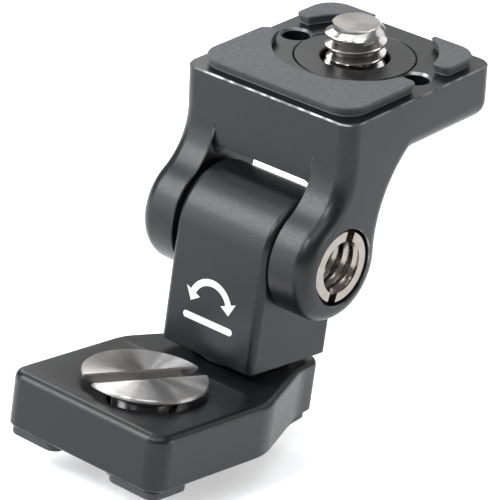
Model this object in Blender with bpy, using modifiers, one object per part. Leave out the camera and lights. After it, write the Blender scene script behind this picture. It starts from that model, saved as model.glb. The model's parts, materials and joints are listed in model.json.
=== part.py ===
"""Swivel and tilt bracket: a slotted base plate, a knuckle that swivels on it, and a forked platform that tilts.

Metres, +Z up, +X along the tilt axis to the right, +Y to the back. The origin is where the axis of the base
screw meets the underside of the base pads.
"""

import math

import bmesh
import bpy
from mathutils import Matrix

MM = 0.001

# Rest pose
TILT_AT_REST = math.radians(8.3)  # the platform leans forward, its rear edge raised
HINGE_BACK = 14.9 * MM  # tilt and swivel axes, behind the base screw
HINGE_HEIGHT = 20.0 * MM

# Quarter-inch screws
THREAD_RADIUS = 3.175 * MM
THREAD_CORE_RADIUS = 2.65 * MM
SCREW_CLEARANCE_RADIUS = 3.55 * MM
SCREW_TIP_RADIUS = 2.45 * MM

# Base plate
PAD_THICKNESS = 1.0 * MM
BASE_THICKNESS = 5.8 * MM
BASE_TOP = PAD_THICKNESS + BASE_THICKNESS
BASE_HALF_WIDTH = 10.25 * MM
BASE_FRONT = -8.9 * MM
BASE_TOP_FILLET = 0.8 * MM
TAIL_BACK = 21.4 * MM
# The right half of the base's plan: x, y and radius of each corner
BASE_CORNERS = [
    (BASE_HALF_WIDTH, BASE_FRONT, 2.0 * MM),
    (BASE_HALF_WIDTH, 7.7 * MM, 7.2 * MM),
    (5.9 * MM, 17.7 * MM, 10.0 * MM),
    (5.26 * MM, TAIL_BACK, 1.5 * MM),
]
BASE_PAD_INSET = 0.5 * MM
REAR_PAD_FRONT_CORNER = (9.25 * MM, 10.0 * MM, 1.5 * MM)
REAR_PAD_INSET = 0.6 * MM

# Base screw
HEAD_RADIUS = 6.39 * MM
HEAD_TOP = BASE_TOP + 1.04 * MM
HEAD_RIM = 0.34 * MM
HEAD_TAPER = 1.85 * MM
BASE_SCREW_TIP = -3.1 * MM
SCREW_FLOAT = 0.9 * MM
COIN_SLOT_WIDTH = 1.94 * MM
COIN_SLOT_DEPTH = 1.15 * MM
COIN_SLOT_ANGLE = math.radians(-22.6)
MOUTH_RADIUS = 6.85 * MM
CLIP_RADIUS = 4.2 * MM
CLIP_THICKNESS = 0.6 * MM
CLIP_POCKET_RADIUS = 4.6 * MM
CLIP_POCKET_TOP = 3.0 * MM
GROOVE_RADIUS = 2.4 * MM

# Knuckle
KNUCKLE_HALF_WIDTH = 6.08 * MM
KNUCKLE_RADIUS = 6.07 * MM
KNUCKLE_BOTTOM = 7.7 * MM
KNUCKLE_EDGE = 0.8 * MM
CROSS_BORE_RADIUS = 3.45 * MM

# Swivel screw, from below through the tail into the knuckle
SWIVEL_SHANK_RADIUS = 2.15 * MM
SWIVEL_HOLE_RADIUS = 2.4 * MM
SWIVEL_HEAD_RADIUS = 3.4 * MM
SWIVEL_COUNTERBORE_RADIUS = 3.7 * MM
SWIVEL_COUNTERBORE_TOP = 4.0 * MM
SWIVEL_SCREW_TOP = 12.8 * MM
SWIVEL_HOLE_TOP = 13.2 * MM
SWIVEL_HEAD_BOTTOM = 1.4 * MM
SWIVEL_HEAD_TOP = 3.35 * MM

# Fork, from here on measured from the tilt axis and square to the platform
FORK_HALF_WIDTH = 11.0 * MM
PLATFORM_DEPTH = 22.9 * MM
PLATFORM_TOP = 15.17 * MM
PLATFORM_UNDERSIDE = 9.36 * MM
EAR_RADIUS = 5.95 * MM
EAR_FORWARD = 0.2 * MM  # the ears' outline stands this far in front of the tilt axis
FRONT_WEB_RADIUS = 6.5 * MM  # concave curves between the platform and the ears
BACK_WEB_RADIUS = 12.0 * MM
OVERHANG_CORNER_RADIUS = 1.8 * MM
FORK_EDGE = 1.7 * MM
SLOT_HALF_WIDTH = 6.4 * MM
SLOT_TOP = 7.7 * MM
SLOT_CORNER_RADIUS = 1.2 * MM
SLOT_FRONT = -0.004 * MM  # between the ears the platform's front runs straight down to the slot
SLOT_FRONT_TOP = 12.0 * MM
SCREW_BACK = 13.9 * MM  # the platform's screw, behind the tilt axis

# Pivot bolts, hollow and slotted
PIVOT_FACE = 10.75 * MM
PIVOT_INNER_END = 2.6 * MM
PIVOT_HEAD_RADIUS = 3.85 * MM
PIVOT_HEAD_LENGTH = 2.75 * MM
PIVOT_SHANK_RADIUS = 3.3 * MM
PIVOT_SLOT_WIDTH = 1.1 * MM
PIVOT_SLOT_DEPTH = 0.9 * MM
PIVOT_SLOT_ANGLE = math.radians(12.7)
EAR_COUNTERBORE_RADIUS = 4.05 * MM
EAR_COUNTERBORE_FLOOR = 7.75 * MM
EAR_HOLE_RADIUS = 3.5 * MM
PIVOT_WASHER_RADIUS = 5.2 * MM
PIVOT_WASHER_THICKNESS = 0.16 * MM

# On top of the platform
TOP_PAD_THICKNESS = 1.0 * MM
TOP_PAD_INSET = 0.9 * MM
TOP_PAD_ARC_RADIUS = 8.5 * MM
TOP_PAD_CORNER_RADIUS = 2.8 * MM
FRONT_PAD_BACK = 11.5 * MM
REAR_PAD_FRONT = 16.2 * MM
DISC_RADIUS = 6.2 * MM
DISC_THICKNESS = 0.8 * MM
DISC_RECESS_RADIUS = 6.3 * MM
DISC_RECESS_FLOOR = 14.3 * MM
RING_RADIUS = 4.5 * MM
RING_POCKET_RADIUS = 4.8 * MM
RING_POCKET_FLOOR = 13.1 * MM
TOP_SCREW_TIP = PLATFORM_TOP + 3.75 * MM
TOP_HEAD_RADIUS = 4.4 * MM
TOP_HEAD_BOTTOM = 10.4 * MM
TOP_HEAD_TOP = 12.0 * MM
TOP_HEAD_SLOT_WIDTH = 1.2 * MM
COUNTERBORE_RADIUS = 4.7 * MM
COUNTERBORE_TOP = 12.15 * MM
PIN_HOLE_OFFSET = 7.85 * MM
PIN_HOLE_RADIUS = 1.45 * MM
PIN_HOLE_FLOOR = 11.2 * MM

GAP = 0.15 * MM
WELD = 0.00001
TURN_STEPS = 32
CUT = 40.0 * MM  # longer than any piece, for cutters that pass right through

MATERIALS = {
    "black_anodised": ((0.022, 0.022, 0.024, 1.0), 0.42, 0.9),
    "stainless": ((0.62, 0.60, 0.57, 1.0), 0.25, 1.0),
    "rubber": ((0.05, 0.052, 0.056, 1.0), 0.85, 0.0),
    "spring_steel": ((0.16, 0.16, 0.17, 1.0), 0.4, 1.0),
    "nylon": ((0.03, 0.03, 0.03, 1.0), 0.6, 0.0),
}


# ---------------------------------------------------------------- scene


def clear_scene():
    for obj in list(bpy.data.objects):
        bpy.data.objects.remove(obj, do_unlink=True)


def new_collection(name):
    collection = bpy.data.collections.new(name)
    bpy.context.scene.collection.children.link(collection)
    return collection


def place(obj, parent=None, at=(0.0, 0.0, 0.0), turn=None):
    """Put the object at a point and turn of its parent's frame."""
    matrix = Matrix.Translation(at)
    if turn is not None:
        matrix = matrix @ turn.to_4x4()
    obj.parent = parent
    obj.matrix_basis = matrix
    return obj


def new_axis(name, parent=None, at=(0.0, 0.0, 0.0), turn=None):
    empty = bpy.data.objects.new(name, None)
    empty.empty_display_size = 5 * MM
    PARTS.objects.link(empty)
    return place(empty, parent, at, turn)


def new_material(name, slot):
    colour, roughness, metallic = MATERIALS[slot]
    material = bpy.data.materials.new(name)
    material.use_nodes = True
    shader = material.node_tree.nodes["Principled BSDF"]
    shader.inputs["Base Color"].default_value = colour
    shader.inputs["Roughness"].default_value = roughness
    shader.inputs["Metallic"].default_value = metallic
    material.diffuse_color = colour
    return material


def finish(obj, slot):
    """Make the object a visible sub-part with a material of its own."""
    PARTS.objects.link(obj)
    obj.data.materials.clear()
    obj.data.materials.append(new_material(obj.name, slot))
    return obj


def hide_as_cutter(obj):
    CUTTERS.objects.link(obj)
    obj.hide_render = True
    obj.display_type = "WIRE"
    return obj


# ---------------------------------------------------------------- shapes


def arc(centre, radius, start, end, steps):
    """Points from one angle in degrees to another, both ends included."""
    angles = [math.radians(start + (end - start) * i / steps) for i in range(steps + 1)]
    return [(centre[0] + radius * math.cos(a), centre[1] + radius * math.sin(a)) for a in angles]


def rounded(corners, inset=0.0, steps=5):
    """Round each inner corner (x, y, radius) of a path that keeps its inside on the left, moved in by inset."""
    outline = []
    for before, corner, after in zip(corners, corners[1:], corners[2:]):
        along = math.atan2(corner[1] - before[1], corner[0] - before[0])
        turn = math.remainder(math.atan2(after[1] - corner[1], after[0] - corner[0]) - along, math.tau)
        left = math.copysign(1, turn)
        reach = corner[2] * math.tan(abs(turn) / 2)
        x = corner[0] - reach * math.cos(along) - left * corner[2] * math.sin(along)
        y = corner[1] - reach * math.sin(along) + left * corner[2] * math.cos(along)
        start = along - left * math.pi / 2
        outline += arc((x, y), corner[2] - left * inset, math.degrees(start), math.degrees(start + turn), steps)
    return outline


def half_path(corners):
    """Lead a right-hand row of corners in from the middle and back to it."""
    return [(0, corners[0][1])] + corners + [(0, corners[-1][1])]


def mirrored(half):
    """Close a right-hand half outline with its mirror image in x."""
    return half + [(-x, y) for x, y in reversed(half)]


def outline_solid(name, outline, thickness, edge=0.0):
    """A flat outline, in local x and y, with half its thickness to each side and its edges rounded."""
    curve = bpy.data.curves.new(name, "CURVE")
    curve.dimensions = "2D"
    curve.fill_mode = "BOTH"
    curve.extrude = thickness / 2 - edge
    curve.bevel_depth = edge
    curve.bevel_resolution = 2
    curve.offset = -edge
    spline = curve.splines.new("POLY")
    spline.points.add(len(outline) - 1)
    for point, (x, y) in zip(spline.points, outline):
        point.co = (x, y, 0.0, 1.0)
    spline.use_cyclic_u = True
    drawn = bpy.data.objects.new(name, curve)
    bpy.context.scene.collection.objects.link(drawn)
    bpy.context.view_layer.update()
    graph = bpy.context.evaluated_depsgraph_get()
    mesh = bpy.data.meshes.new_from_object(drawn.evaluated_get(graph))
    bpy.data.objects.remove(drawn, do_unlink=True)
    bpy.data.curves.remove(curve)
    mesh.name = name
    shape = bmesh.new()
    shape.from_mesh(mesh)
    bmesh.ops.remove_doubles(shape, verts=shape.verts, dist=WELD / 10)
    bmesh.ops.recalc_face_normals(shape, faces=shape.faces)
    shape.to_mesh(mesh)
    shape.free()
    return bpy.data.objects.new(name, mesh)


def turned_solid(name, profile, closed=False, steps=TURN_STEPS):
    """A profile of (radius, height) points, top to bottom down its outer side, turned about local z."""
    mesh = bpy.data.meshes.new(name)
    edges = [(i, i + 1) for i in range(len(profile) - 1)]
    if closed:
        edges.append((len(profile) - 1, 0))
    mesh.from_pydata([(r, 0.0, z) for r, z in profile], edges, [])
    obj = bpy.data.objects.new(name, mesh)
    screw = obj.modifiers.new("turn", "SCREW")
    screw.steps = steps
    screw.render_steps = steps
    screw.use_merge_vertices = True
    screw.merge_threshold = WELD
    screw.use_smooth_shade = True
    return obj


def washer_solid(name, outer, inner, bottom, top):
    profile = [(inner, top), (outer, top), (outer, bottom), (inner, bottom)]
    return turned_solid(name, profile, closed=True)


def primitive(name):
    """Take the primitive just added out of the scene's own collection."""
    obj = bpy.context.object
    obj.name = name
    for collection in list(obj.users_collection):
        collection.objects.unlink(obj)
    return obj


def cylinder_cutter(name, radius, bottom, top, parent=None, at=(0.0, 0.0, 0.0), turn=None, foot=None):
    """A cylinder along local z, or a cone whose lower end has the radius foot."""
    bpy.ops.mesh.primitive_cone_add(
        vertices=TURN_STEPS, radius1=radius if foot is None else foot, radius2=radius, depth=top - bottom
    )
    obj = primitive(name)
    for vertex in obj.data.vertices:
        vertex.co.z += (top + bottom) / 2
    return hide_as_cutter(place(obj, parent, at, turn))


def box_cutter(name, size, parent=None, at=(0.0, 0.0, 0.0), turn=None):
    bpy.ops.mesh.primitive_cube_add(size=1.0)
    obj = primitive(name)
    for vertex in obj.data.vertices:
        vertex.co = [c * s for c, s in zip(vertex.co, size)]
    return hide_as_cutter(place(obj, parent, at, turn))


def cut(obj, *cutters):
    for cutter in cutters:
        boolean = obj.modifiers.new(cutter.name, "BOOLEAN")
        boolean.operation = "DIFFERENCE"
        boolean.solver = "EXACT"
        boolean.object = cutter
    return obj


def smooth(obj, angle=35.0):
    obj.data.shade_smooth()
    obj.data.set_sharp_from_angle(angle=math.radians(angle))


# Turns of a flat outline: its thickness along x, or along y
SIDEWAYS = Matrix(((0, 0, 1), (1, 0, 0), (0, 1, 0)))
FACING_FRONT = Matrix(((1, 0, 0), (0, 0, -1), (0, 1, 0)))
TO_RIGHT = Matrix.Rotation(math.pi / 2, 3, "Y")
TO_LEFT = Matrix.Rotation(-math.pi / 2, 3, "Y")


# ---------------------------------------------------------------- base


def make_base():
    spare = 4 * MM  # cut off below, which leaves the lower edge sharp
    height = BASE_THICKNESS + spare
    plate = outline_solid("base_plate", mirrored(rounded(half_path(BASE_CORNERS))), height, BASE_TOP_FILLET)
    place(finish(plate, "black_anodised"), None, (0, 0, BASE_TOP - height / 2))
    drop = (MOUTH_RADIUS - SCREW_CLEARANCE_RADIUS) * HEAD_TAPER / (HEAD_RADIUS - THREAD_RADIUS)
    mouth_radius = MOUTH_RADIUS + (MOUTH_RADIUS - SCREW_CLEARANCE_RADIUS) * MM / drop
    back = (0, HINGE_BACK, 0)
    cut(
        plate,
        box_cutter("base_underside", (CUT, 2 * CUT, spare * 2), at=(0, 0, PAD_THICKNESS - spare)),
        cylinder_cutter("base_mouth", mouth_radius, BASE_TOP - drop, BASE_TOP + MM, foot=SCREW_CLEARANCE_RADIUS),
        cylinder_cutter("base_screw_hole", SCREW_CLEARANCE_RADIUS, -MM, BASE_TOP),
        cylinder_cutter("base_clip_pocket", CLIP_POCKET_RADIUS, -MM, CLIP_POCKET_TOP),
        cylinder_cutter("tail_hole", SWIVEL_HOLE_RADIUS, -MM, BASE_TOP + MM, at=back),
        cylinder_cutter("tail_counterbore", SWIVEL_COUNTERBORE_RADIUS, -MM, SWIVEL_COUNTERBORE_TOP, at=back),
    )
    smooth(plate)


def make_base_pads():
    thickness = PAD_THICKNESS - GAP
    front = BASE_FRONT + BASE_PAD_INSET
    inner, back, radius = 3.4 * MM, -2.9 * MM, 1.2 * MM
    outer = BASE_HALF_WIDTH - BASE_PAD_INSET
    for side, name in ((1, "base_pad_front_right"), (-1, "base_pad_front_left")):
        outline = arc((outer - radius, front + radius), radius, -90, 0, 4)
        outline += arc((outer - radius, back - radius), radius, 0, 90, 4)
        outline += [(inner, back)] + arc((inner + radius, front + radius), radius, 180, 270, 4)[:-1]
        pad = outline_solid(name, [(side * x, y) for x, y in outline], thickness)
        place(finish(pad, "rubber"), None, (0, 0, thickness / 2))
    tail = [REAR_PAD_FRONT_CORNER] + BASE_CORNERS[2:]
    pad = outline_solid("base_pad_rear", mirrored(rounded(half_path(tail), REAR_PAD_INSET)), thickness)
    place(finish(pad, "rubber"), None, (0, 0, thickness / 2))
    hole = SWIVEL_COUNTERBORE_RADIUS + 0.1 * MM
    cut(pad, cylinder_cutter("rear_pad_hole", hole, -MM, 2 * MM, at=(0, HINGE_BACK, 0)))


def make_base_screw():
    groove_top = CLIP_POCKET_TOP - 0.05 * MM
    groove_bottom = groove_top - CLIP_THICKNESS - 0.1 * MM
    shank = THREAD_RADIUS - 0.1 * MM
    tip = BASE_SCREW_TIP
    profile = [(0, HEAD_TOP), (HEAD_RADIUS - 0.1 * MM, HEAD_TOP), (HEAD_RADIUS, HEAD_TOP - 0.1 * MM)]
    profile += [(HEAD_RADIUS, HEAD_TOP - HEAD_RIM), (shank, HEAD_TOP - HEAD_RIM - HEAD_TAPER)]
    profile += [(shank, groove_top), (GROOVE_RADIUS, groove_top), (GROOVE_RADIUS, groove_bottom)]
    profile += [(THREAD_RADIUS, groove_bottom), (THREAD_RADIUS, tip + 0.6 * MM), (SCREW_TIP_RADIUS, tip), (0, tip)]
    axis = new_axis("base_screw_axis")
    screw = place(finish(turned_solid("base_screw", profile, steps=48), "stainless"), axis)
    slot = box_cutter(
        "coin_slot",
        (COIN_SLOT_WIDTH, 3 * HEAD_RADIUS, 2 * COIN_SLOT_DEPTH),
        at=(0, 0, HEAD_TOP),
        turn=Matrix.Rotation(COIN_SLOT_ANGLE, 3, "Z"),
    )
    cut(screw, slot)
    clip_top = groove_top - 0.05 * MM
    clip = washer_solid("base_screw_clip", CLIP_RADIUS, GROOVE_RADIUS + 0.1 * MM, clip_top - CLIP_THICKNESS, clip_top)
    place(finish(clip, "spring_steel"), axis)
    cut(clip, box_cutter("base_clip_mouth", (2 * MM, 2 * CLIP_RADIUS, 4 * MM), at=(0, CLIP_RADIUS, clip_top)))


# ---------------------------------------------------------------- knuckle and swivel


def make_knuckle():
    spare = 3 * MM
    bottom = KNUCKLE_BOTTOM - HINGE_HEIGHT
    outline = arc((0, 0), KNUCKLE_RADIUS, 0, 180, 18)
    outline += [(-KNUCKLE_RADIUS, bottom - spare), (KNUCKLE_RADIUS, bottom - spare)]
    block = outline_solid("knuckle_block", outline, 2 * KNUCKLE_HALF_WIDTH, KNUCKLE_EDGE)
    place(finish(block, "black_anodised"), SWIVEL_AXIS, (0, 0, HINGE_HEIGHT), SIDEWAYS)
    cut(
        block,
        box_cutter("knuckle_underside", (CUT, CUT, 4 * spare), SWIVEL_AXIS, (0, 0, KNUCKLE_BOTTOM - 2 * spare)),
        cylinder_cutter("cross_bore", CROSS_BORE_RADIUS, -CUT, CUT, SWIVEL_AXIS, (0, 0, HINGE_HEIGHT), TO_RIGHT),
        cylinder_cutter("knuckle_thread_hole", SWIVEL_HOLE_RADIUS, 0, SWIVEL_HOLE_TOP, SWIVEL_AXIS),
    )
    smooth(block)


def make_swivel():
    washer = washer_solid(
        "swivel_washer", 4.9 * MM, SWIVEL_HOLE_RADIUS + GAP, BASE_TOP + GAP, KNUCKLE_BOTTOM - GAP
    )
    place(finish(washer, "nylon"), SWIVEL_AXIS)
    head, shank = SWIVEL_HEAD_RADIUS, SWIVEL_SHANK_RADIUS
    bottom, top = SWIVEL_HEAD_BOTTOM, SWIVEL_HEAD_TOP
    profile = [(0, SWIVEL_SCREW_TOP), (shank - 0.3 * MM, SWIVEL_SCREW_TOP), (shank, SWIVEL_SCREW_TOP - 0.3 * MM)]
    profile += [(shank, top), (head, top), (head, bottom + 0.2 * MM), (head - 0.2 * MM, bottom), (0, bottom)]
    screw = place(finish(turned_solid("swivel_screw", profile), "stainless"), SWIVEL_AXIS)
    bpy.ops.mesh.primitive_cylinder_add(vertices=6, radius=1.44 * MM, depth=2.4 * MM)
    socket = primitive("hex_socket")
    cut(screw, hide_as_cutter(place(socket, SWIVEL_AXIS, (0, 0, bottom))))
    crown, foot, thick = SWIVEL_COUNTERBORE_TOP - 0.05 * MM, top + 0.05 * MM, 0.35 * MM
    cone = [(shank + GAP, crown), (head, foot + thick), (head, foot), (shank + GAP, crown - thick)]
    place(finish(turned_solid("swivel_spring_washer", cone, closed=True), "spring_steel"), SWIVEL_AXIS)


# ---------------------------------------------------------------- fork and pivots


def fork_outline(above):
    """The fork's side, in (back, up) from the tilt axis, carried on above the platform's top."""
    beside = FRONT_WEB_RADIUS - EAR_FORWARD
    front_height = math.sqrt((EAR_RADIUS + FRONT_WEB_RADIUS) ** 2 - beside**2)
    turn = math.degrees(math.atan2(front_height, beside))
    back_turn = math.degrees(math.asin(PLATFORM_UNDERSIDE / BACK_WEB_RADIUS))
    corner = OVERHANG_CORNER_RADIUS
    outline = [(0, PLATFORM_TOP + above)]
    outline += arc((-FRONT_WEB_RADIUS, front_height), FRONT_WEB_RADIUS, 0, -turn, 6)
    outline += arc((-EAR_FORWARD, 0), EAR_RADIUS, 180 - turn, 360, 20)[1:]
    outline += arc((EAR_RADIUS - EAR_FORWARD + BACK_WEB_RADIUS, 0), BACK_WEB_RADIUS, 180, 180 - back_turn, 7)[1:]
    outline += arc((PLATFORM_DEPTH - corner, PLATFORM_UNDERSIDE + corner), corner, -90, 0, 5)
    outline += [(PLATFORM_DEPTH, PLATFORM_TOP + above)]
    return outline


def make_fork():
    spare = 4 * MM
    fork = outline_solid("tilt_fork", fork_outline(spare), 2 * FORK_HALF_WIDTH, FORK_EDGE)
    place(finish(fork, "black_anodised"), TILT_AXIS, turn=SIDEWAYS)
    outline = [(SLOT_HALF_WIDTH, -CUT)]
    outline += arc(
        (SLOT_HALF_WIDTH - SLOT_CORNER_RADIUS, SLOT_TOP - SLOT_CORNER_RADIUS), SLOT_CORNER_RADIUS, 0, 90, 4
    )
    slot = outline_solid("fork_slot", mirrored(outline), 2 * CUT)
    at_screw = (0, SCREW_BACK, 0)
    cutters = [
        box_cutter("platform_top", (CUT, 2 * CUT, 2 * spare), TILT_AXIS, (0, 0, PLATFORM_TOP + spare)),
        hide_as_cutter(place(slot, TILT_AXIS, turn=FACING_FRONT)),
        box_cutter(
            "front_between_ears",
            (2 * SLOT_HALF_WIDTH, CUT, CUT),
            TILT_AXIS,
            (0, SLOT_FRONT - CUT / 2, SLOT_FRONT_TOP - CUT / 2),
        ),
        cylinder_cutter("ear_holes", EAR_HOLE_RADIUS, -CUT, CUT, TILT_AXIS, turn=TO_RIGHT),
        cylinder_cutter("screw_hole", SCREW_CLEARANCE_RADIUS, 0, CUT, TILT_AXIS, at_screw),
        cylinder_cutter("screw_counterbore", COUNTERBORE_RADIUS, 0, COUNTERBORE_TOP, TILT_AXIS, at_screw),
        cylinder_cutter("ring_pocket", RING_POCKET_RADIUS, RING_POCKET_FLOOR, CUT, TILT_AXIS, at_screw),
        cylinder_cutter("disc_recess", DISC_RECESS_RADIUS, DISC_RECESS_FLOOR, CUT, TILT_AXIS, at_screw),
    ]
    for side, turn in ((1, TO_RIGHT), (-1, TO_LEFT)):
        cutters.append(
            cylinder_cutter(
                f"ear_counterbore_{side}", EAR_COUNTERBORE_RADIUS, EAR_COUNTERBORE_FLOOR, CUT, TILT_AXIS, turn=turn
            )
        )
        hole = (side * PIN_HOLE_OFFSET, SCREW_BACK, 0)
        cutters.append(cylinder_cutter(f"pin_hole_{side}", PIN_HOLE_RADIUS, PIN_HOLE_FLOOR, CUT, TILT_AXIS, hole))
    cut(fork, *cutters)
    smooth(fork)


def make_pivots():
    """Hollow slotted bolts through the ears into the knuckle, and the friction washers beside it."""
    head_back = PIVOT_FACE - PIVOT_HEAD_LENGTH
    chamfer = 0.5 * MM
    profile = [(THREAD_CORE_RADIUS + chamfer, PIVOT_FACE), (PIVOT_HEAD_RADIUS - 0.15 * MM, PIVOT_FACE)]
    profile += [(PIVOT_HEAD_RADIUS, PIVOT_FACE - 0.15 * MM), (PIVOT_HEAD_RADIUS, head_back)]
    profile += [(PIVOT_SHANK_RADIUS, head_back), (PIVOT_SHANK_RADIUS, PIVOT_INNER_END)]
    profile += [(THREAD_CORE_RADIUS, PIVOT_INNER_END), (THREAD_CORE_RADIUS, PIVOT_FACE - chamfer)]
    middle = (KNUCKLE_HALF_WIDTH + SLOT_HALF_WIDTH) / 2
    half = PIVOT_WASHER_THICKNESS / 2
    for name, turn in (("right", TO_RIGHT), ("left", TO_LEFT)):
        bolt = turned_solid(f"pivot_bolt_{name}", profile, closed=True)
        place(finish(bolt, "stainless"), HINGE, turn=turn)
        side = 1 if name == "right" else -1
        lean = Matrix.Rotation(-PIVOT_SLOT_ANGLE, 3, "X")
        size = (2 * PIVOT_SLOT_DEPTH, PIVOT_SLOT_WIDTH, 3 * PIVOT_HEAD_RADIUS)
        cut(bolt, box_cutter(f"pivot_slot_{name}", size, HINGE, (side * PIVOT_FACE, 0, 0), lean))
        washer = washer_solid(
            f"pivot_washer_{name}", PIVOT_WASHER_RADIUS, EAR_HOLE_RADIUS, middle - half, middle + half
        )
        place(finish(washer, "nylon"), HINGE, turn=turn)


# ---------------------------------------------------------------- platform


def make_top_pads():
    """A front pad with two arms, and two rear corners, all cut back to one circle about the screw."""
    edge = FORK_HALF_WIDTH - TOP_PAD_INSET
    corner = TOP_PAD_CORNER_RADIUS
    thickness = TOP_PAD_THICKNESS
    height = PLATFORM_TOP + GAP / 3 + thickness / 2
    reach = math.degrees(math.asin((FRONT_PAD_BACK - SCREW_BACK) / TOP_PAD_ARC_RADIUS))
    tip = 0.7 * MM
    half = arc((edge - corner, TOP_PAD_INSET + corner), corner, -90, 0, 5)
    half += arc((edge - tip, FRONT_PAD_BACK - tip), tip, 0, 90, 3)
    half += arc((0, SCREW_BACK), TOP_PAD_ARC_RADIUS, reach, -90, 10)[:-1]
    front = outline_solid("top_pad_front", mirrored(half), thickness)
    place(finish(front, "rubber"), TILT_AXIS, (0, 0, height))
    back = PLATFORM_DEPTH - TOP_PAD_INSET
    start = math.degrees(math.asin((REAR_PAD_FRONT - SCREW_BACK) / TOP_PAD_ARC_RADIUS))
    end = math.degrees(math.acos(3.9 * MM / TOP_PAD_ARC_RADIUS))
    outline = arc((0, SCREW_BACK), TOP_PAD_ARC_RADIUS, end, start, 5)
    outline += arc((edge - tip, REAR_PAD_FRONT + tip), tip, -90, 0, 3)
    outline += arc((edge - corner, back - corner), corner, 0, 90, 4)
    outline += [(3.9 * MM, back)]
    for side, name in ((1, "top_pad_rear_right"), (-1, "top_pad_rear_left")):
        pad = outline_solid(name, [(side * x, y) for x, y in outline], thickness)
        place(finish(pad, "rubber"), TILT_AXIS, (0, 0, height))


def make_platform_screw():
    axis = new_axis("top_screw_axis", TILT_AXIS, (0, SCREW_BACK, 0))
    top = PLATFORM_TOP
    disc = washer_solid("top_disc", DISC_RADIUS, SCREW_CLEARANCE_RADIUS, top - DISC_THICKNESS, top)
    place(finish(disc, "black_anodised"), axis)
    groove_bottom = RING_POCKET_FLOOR + 0.1 * MM
    groove_top = groove_bottom + CLIP_THICKNESS + 0.2 * MM
    ring_bottom = groove_bottom + 0.1 * MM
    ring = washer_solid(
        "top_screw_ring", RING_RADIUS, GROOVE_RADIUS + 0.1 * MM, ring_bottom, ring_bottom + CLIP_THICKNESS
    )
    place(finish(ring, "spring_steel"), axis)
    cut(ring, box_cutter("ring_mouth", (2 * MM, 2 * RING_RADIUS, 4 * MM), axis, (0, RING_RADIUS, ring_bottom)))
    tip, shank, head = TOP_SCREW_TIP, THREAD_RADIUS, TOP_HEAD_RADIUS
    profile = [(0, tip), (SCREW_TIP_RADIUS, tip), (shank, tip - 0.6 * MM), (shank, groove_top)]
    profile += [(GROOVE_RADIUS, groove_top), (GROOVE_RADIUS, groove_bottom), (shank, groove_bottom)]
    profile += [(shank, TOP_HEAD_TOP), (head, TOP_HEAD_TOP), (head, TOP_HEAD_BOTTOM + 0.2 * MM)]
    profile += [(head - 0.2 * MM, TOP_HEAD_BOTTOM), (0, TOP_HEAD_BOTTOM)]
    screw = place(finish(turned_solid("top_screw", profile), "stainless"), axis)
    size = (3 * head, TOP_HEAD_SLOT_WIDTH, 1.6 * MM)
    cut(screw, box_cutter("top_head_slot", size, axis, (0, 0, TOP_HEAD_BOTTOM)))


clear_scene()
PARTS = new_collection("swivel_tilt_bracket")
CUTTERS = new_collection("cutters")
SWIVEL_AXIS = new_axis("swivel_axis", None, (0, HINGE_BACK, 0))
HINGE = new_axis("hinge", SWIVEL_AXIS, (0, 0, HINGE_HEIGHT))
TILT_AXIS = new_axis("tilt_axis", HINGE, turn=Matrix.Rotation(TILT_AT_REST, 3, "X"))
make_base()
make_base_pads()
make_base_screw()
make_knuckle()
make_swivel()
make_fork()
make_pivots()
make_top_pads()
make_platform_screw()
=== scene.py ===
"""Looks of the swivel and tilt bracket: finer solids in the CAD's frame, materials, light, camera.

The makers work in millimetres in a local frame, and piece() brings each mesh to metres there.
"""

import json
import math

import bmesh
import bpy
from mathutils import Matrix, Vector

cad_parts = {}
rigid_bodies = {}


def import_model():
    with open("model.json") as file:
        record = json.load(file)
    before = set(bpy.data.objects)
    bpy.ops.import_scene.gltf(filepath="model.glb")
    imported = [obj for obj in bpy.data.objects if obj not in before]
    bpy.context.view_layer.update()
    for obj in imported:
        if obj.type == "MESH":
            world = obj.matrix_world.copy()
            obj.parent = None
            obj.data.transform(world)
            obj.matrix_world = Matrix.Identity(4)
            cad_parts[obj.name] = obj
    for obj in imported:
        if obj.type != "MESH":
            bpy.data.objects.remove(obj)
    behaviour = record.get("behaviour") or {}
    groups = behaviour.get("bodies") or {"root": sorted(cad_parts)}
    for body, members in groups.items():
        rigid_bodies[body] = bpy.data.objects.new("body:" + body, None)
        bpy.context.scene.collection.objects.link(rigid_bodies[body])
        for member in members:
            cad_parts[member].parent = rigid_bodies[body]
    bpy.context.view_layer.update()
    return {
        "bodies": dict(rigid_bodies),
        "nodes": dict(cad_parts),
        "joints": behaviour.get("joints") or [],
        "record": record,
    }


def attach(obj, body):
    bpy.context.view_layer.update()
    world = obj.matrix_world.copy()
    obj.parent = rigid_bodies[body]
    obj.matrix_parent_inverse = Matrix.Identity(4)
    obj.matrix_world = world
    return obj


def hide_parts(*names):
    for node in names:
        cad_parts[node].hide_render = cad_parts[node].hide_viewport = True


MM = 0.001
TURN = 96  # facets round a hole or a turned piece
WELD = 0.002  # mm
SHARP_ANGLE = 50  # degrees between faces, from which an edge may be chamfered
WAVE_STEP = 0.314  # between the rings of Blender's wave texture at a scale of 1

# Screws and threads: a quarter inch by 20 threads an inch
PITCH = 1.27
THREAD_RADIUS = 3.175
THREAD_ROOT = 2.42
BORE_RADIUS = 2.65  # inside the crests of a pivot's thread
BORE_ROOT = 3.17
CLEARANCE_RADIUS = 3.55
GROOVE_RADIUS = 2.4

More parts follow.
